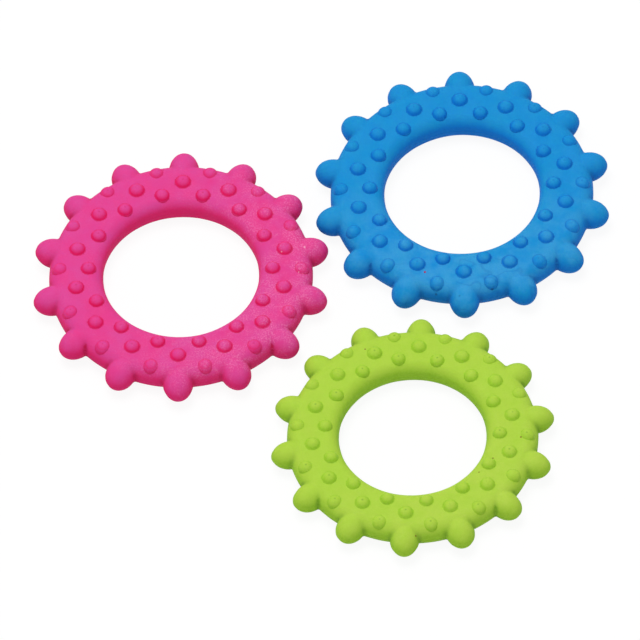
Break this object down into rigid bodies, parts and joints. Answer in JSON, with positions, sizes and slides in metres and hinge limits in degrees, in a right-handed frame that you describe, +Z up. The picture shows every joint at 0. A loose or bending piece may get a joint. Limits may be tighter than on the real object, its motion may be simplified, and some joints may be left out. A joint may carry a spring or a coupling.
{
  "type": "rubber chew toy",
  "caption": "Loose set of flat rubber chew rings for a dog, with ball-ended knobs round the rim and staggered round bumps on the upper face, to bite, carry and throw.",
  "frame": {"origin": "on the table under the middle of the set's footprint", "axes": "+Z up through the rings' holes, +X to the right and +Y to the back as the set is seen from the front"},
  "size_m": [0.1936, 0.1948, 0.0117],
  "materials": {
    "pink_rubber": "matte moulded rubber with a light powdery bloom",
    "blue_rubber": "matte moulded rubber",
    "green_rubber": "matte moulded rubber"
  },
  "bodies": {
    "pink": {"pink_ring": "pink_rubber"},
    "blue": {"blue_ring": "blue_rubber"},
    "green": {"green_ring": "green_rubber"}
  },
  "joints": [
    {"name": "blue_lift", "type": "slide", "parent": "pink", "child": "blue", "axis": [0, 0, 1], "range_m": [0, 0.06]},
    {"name": "green_lift", "type": "slide", "parent": "pink", "child": "green", "axis": [0, 0, 1], "range_m": [0, 0.06]}
  ]
}
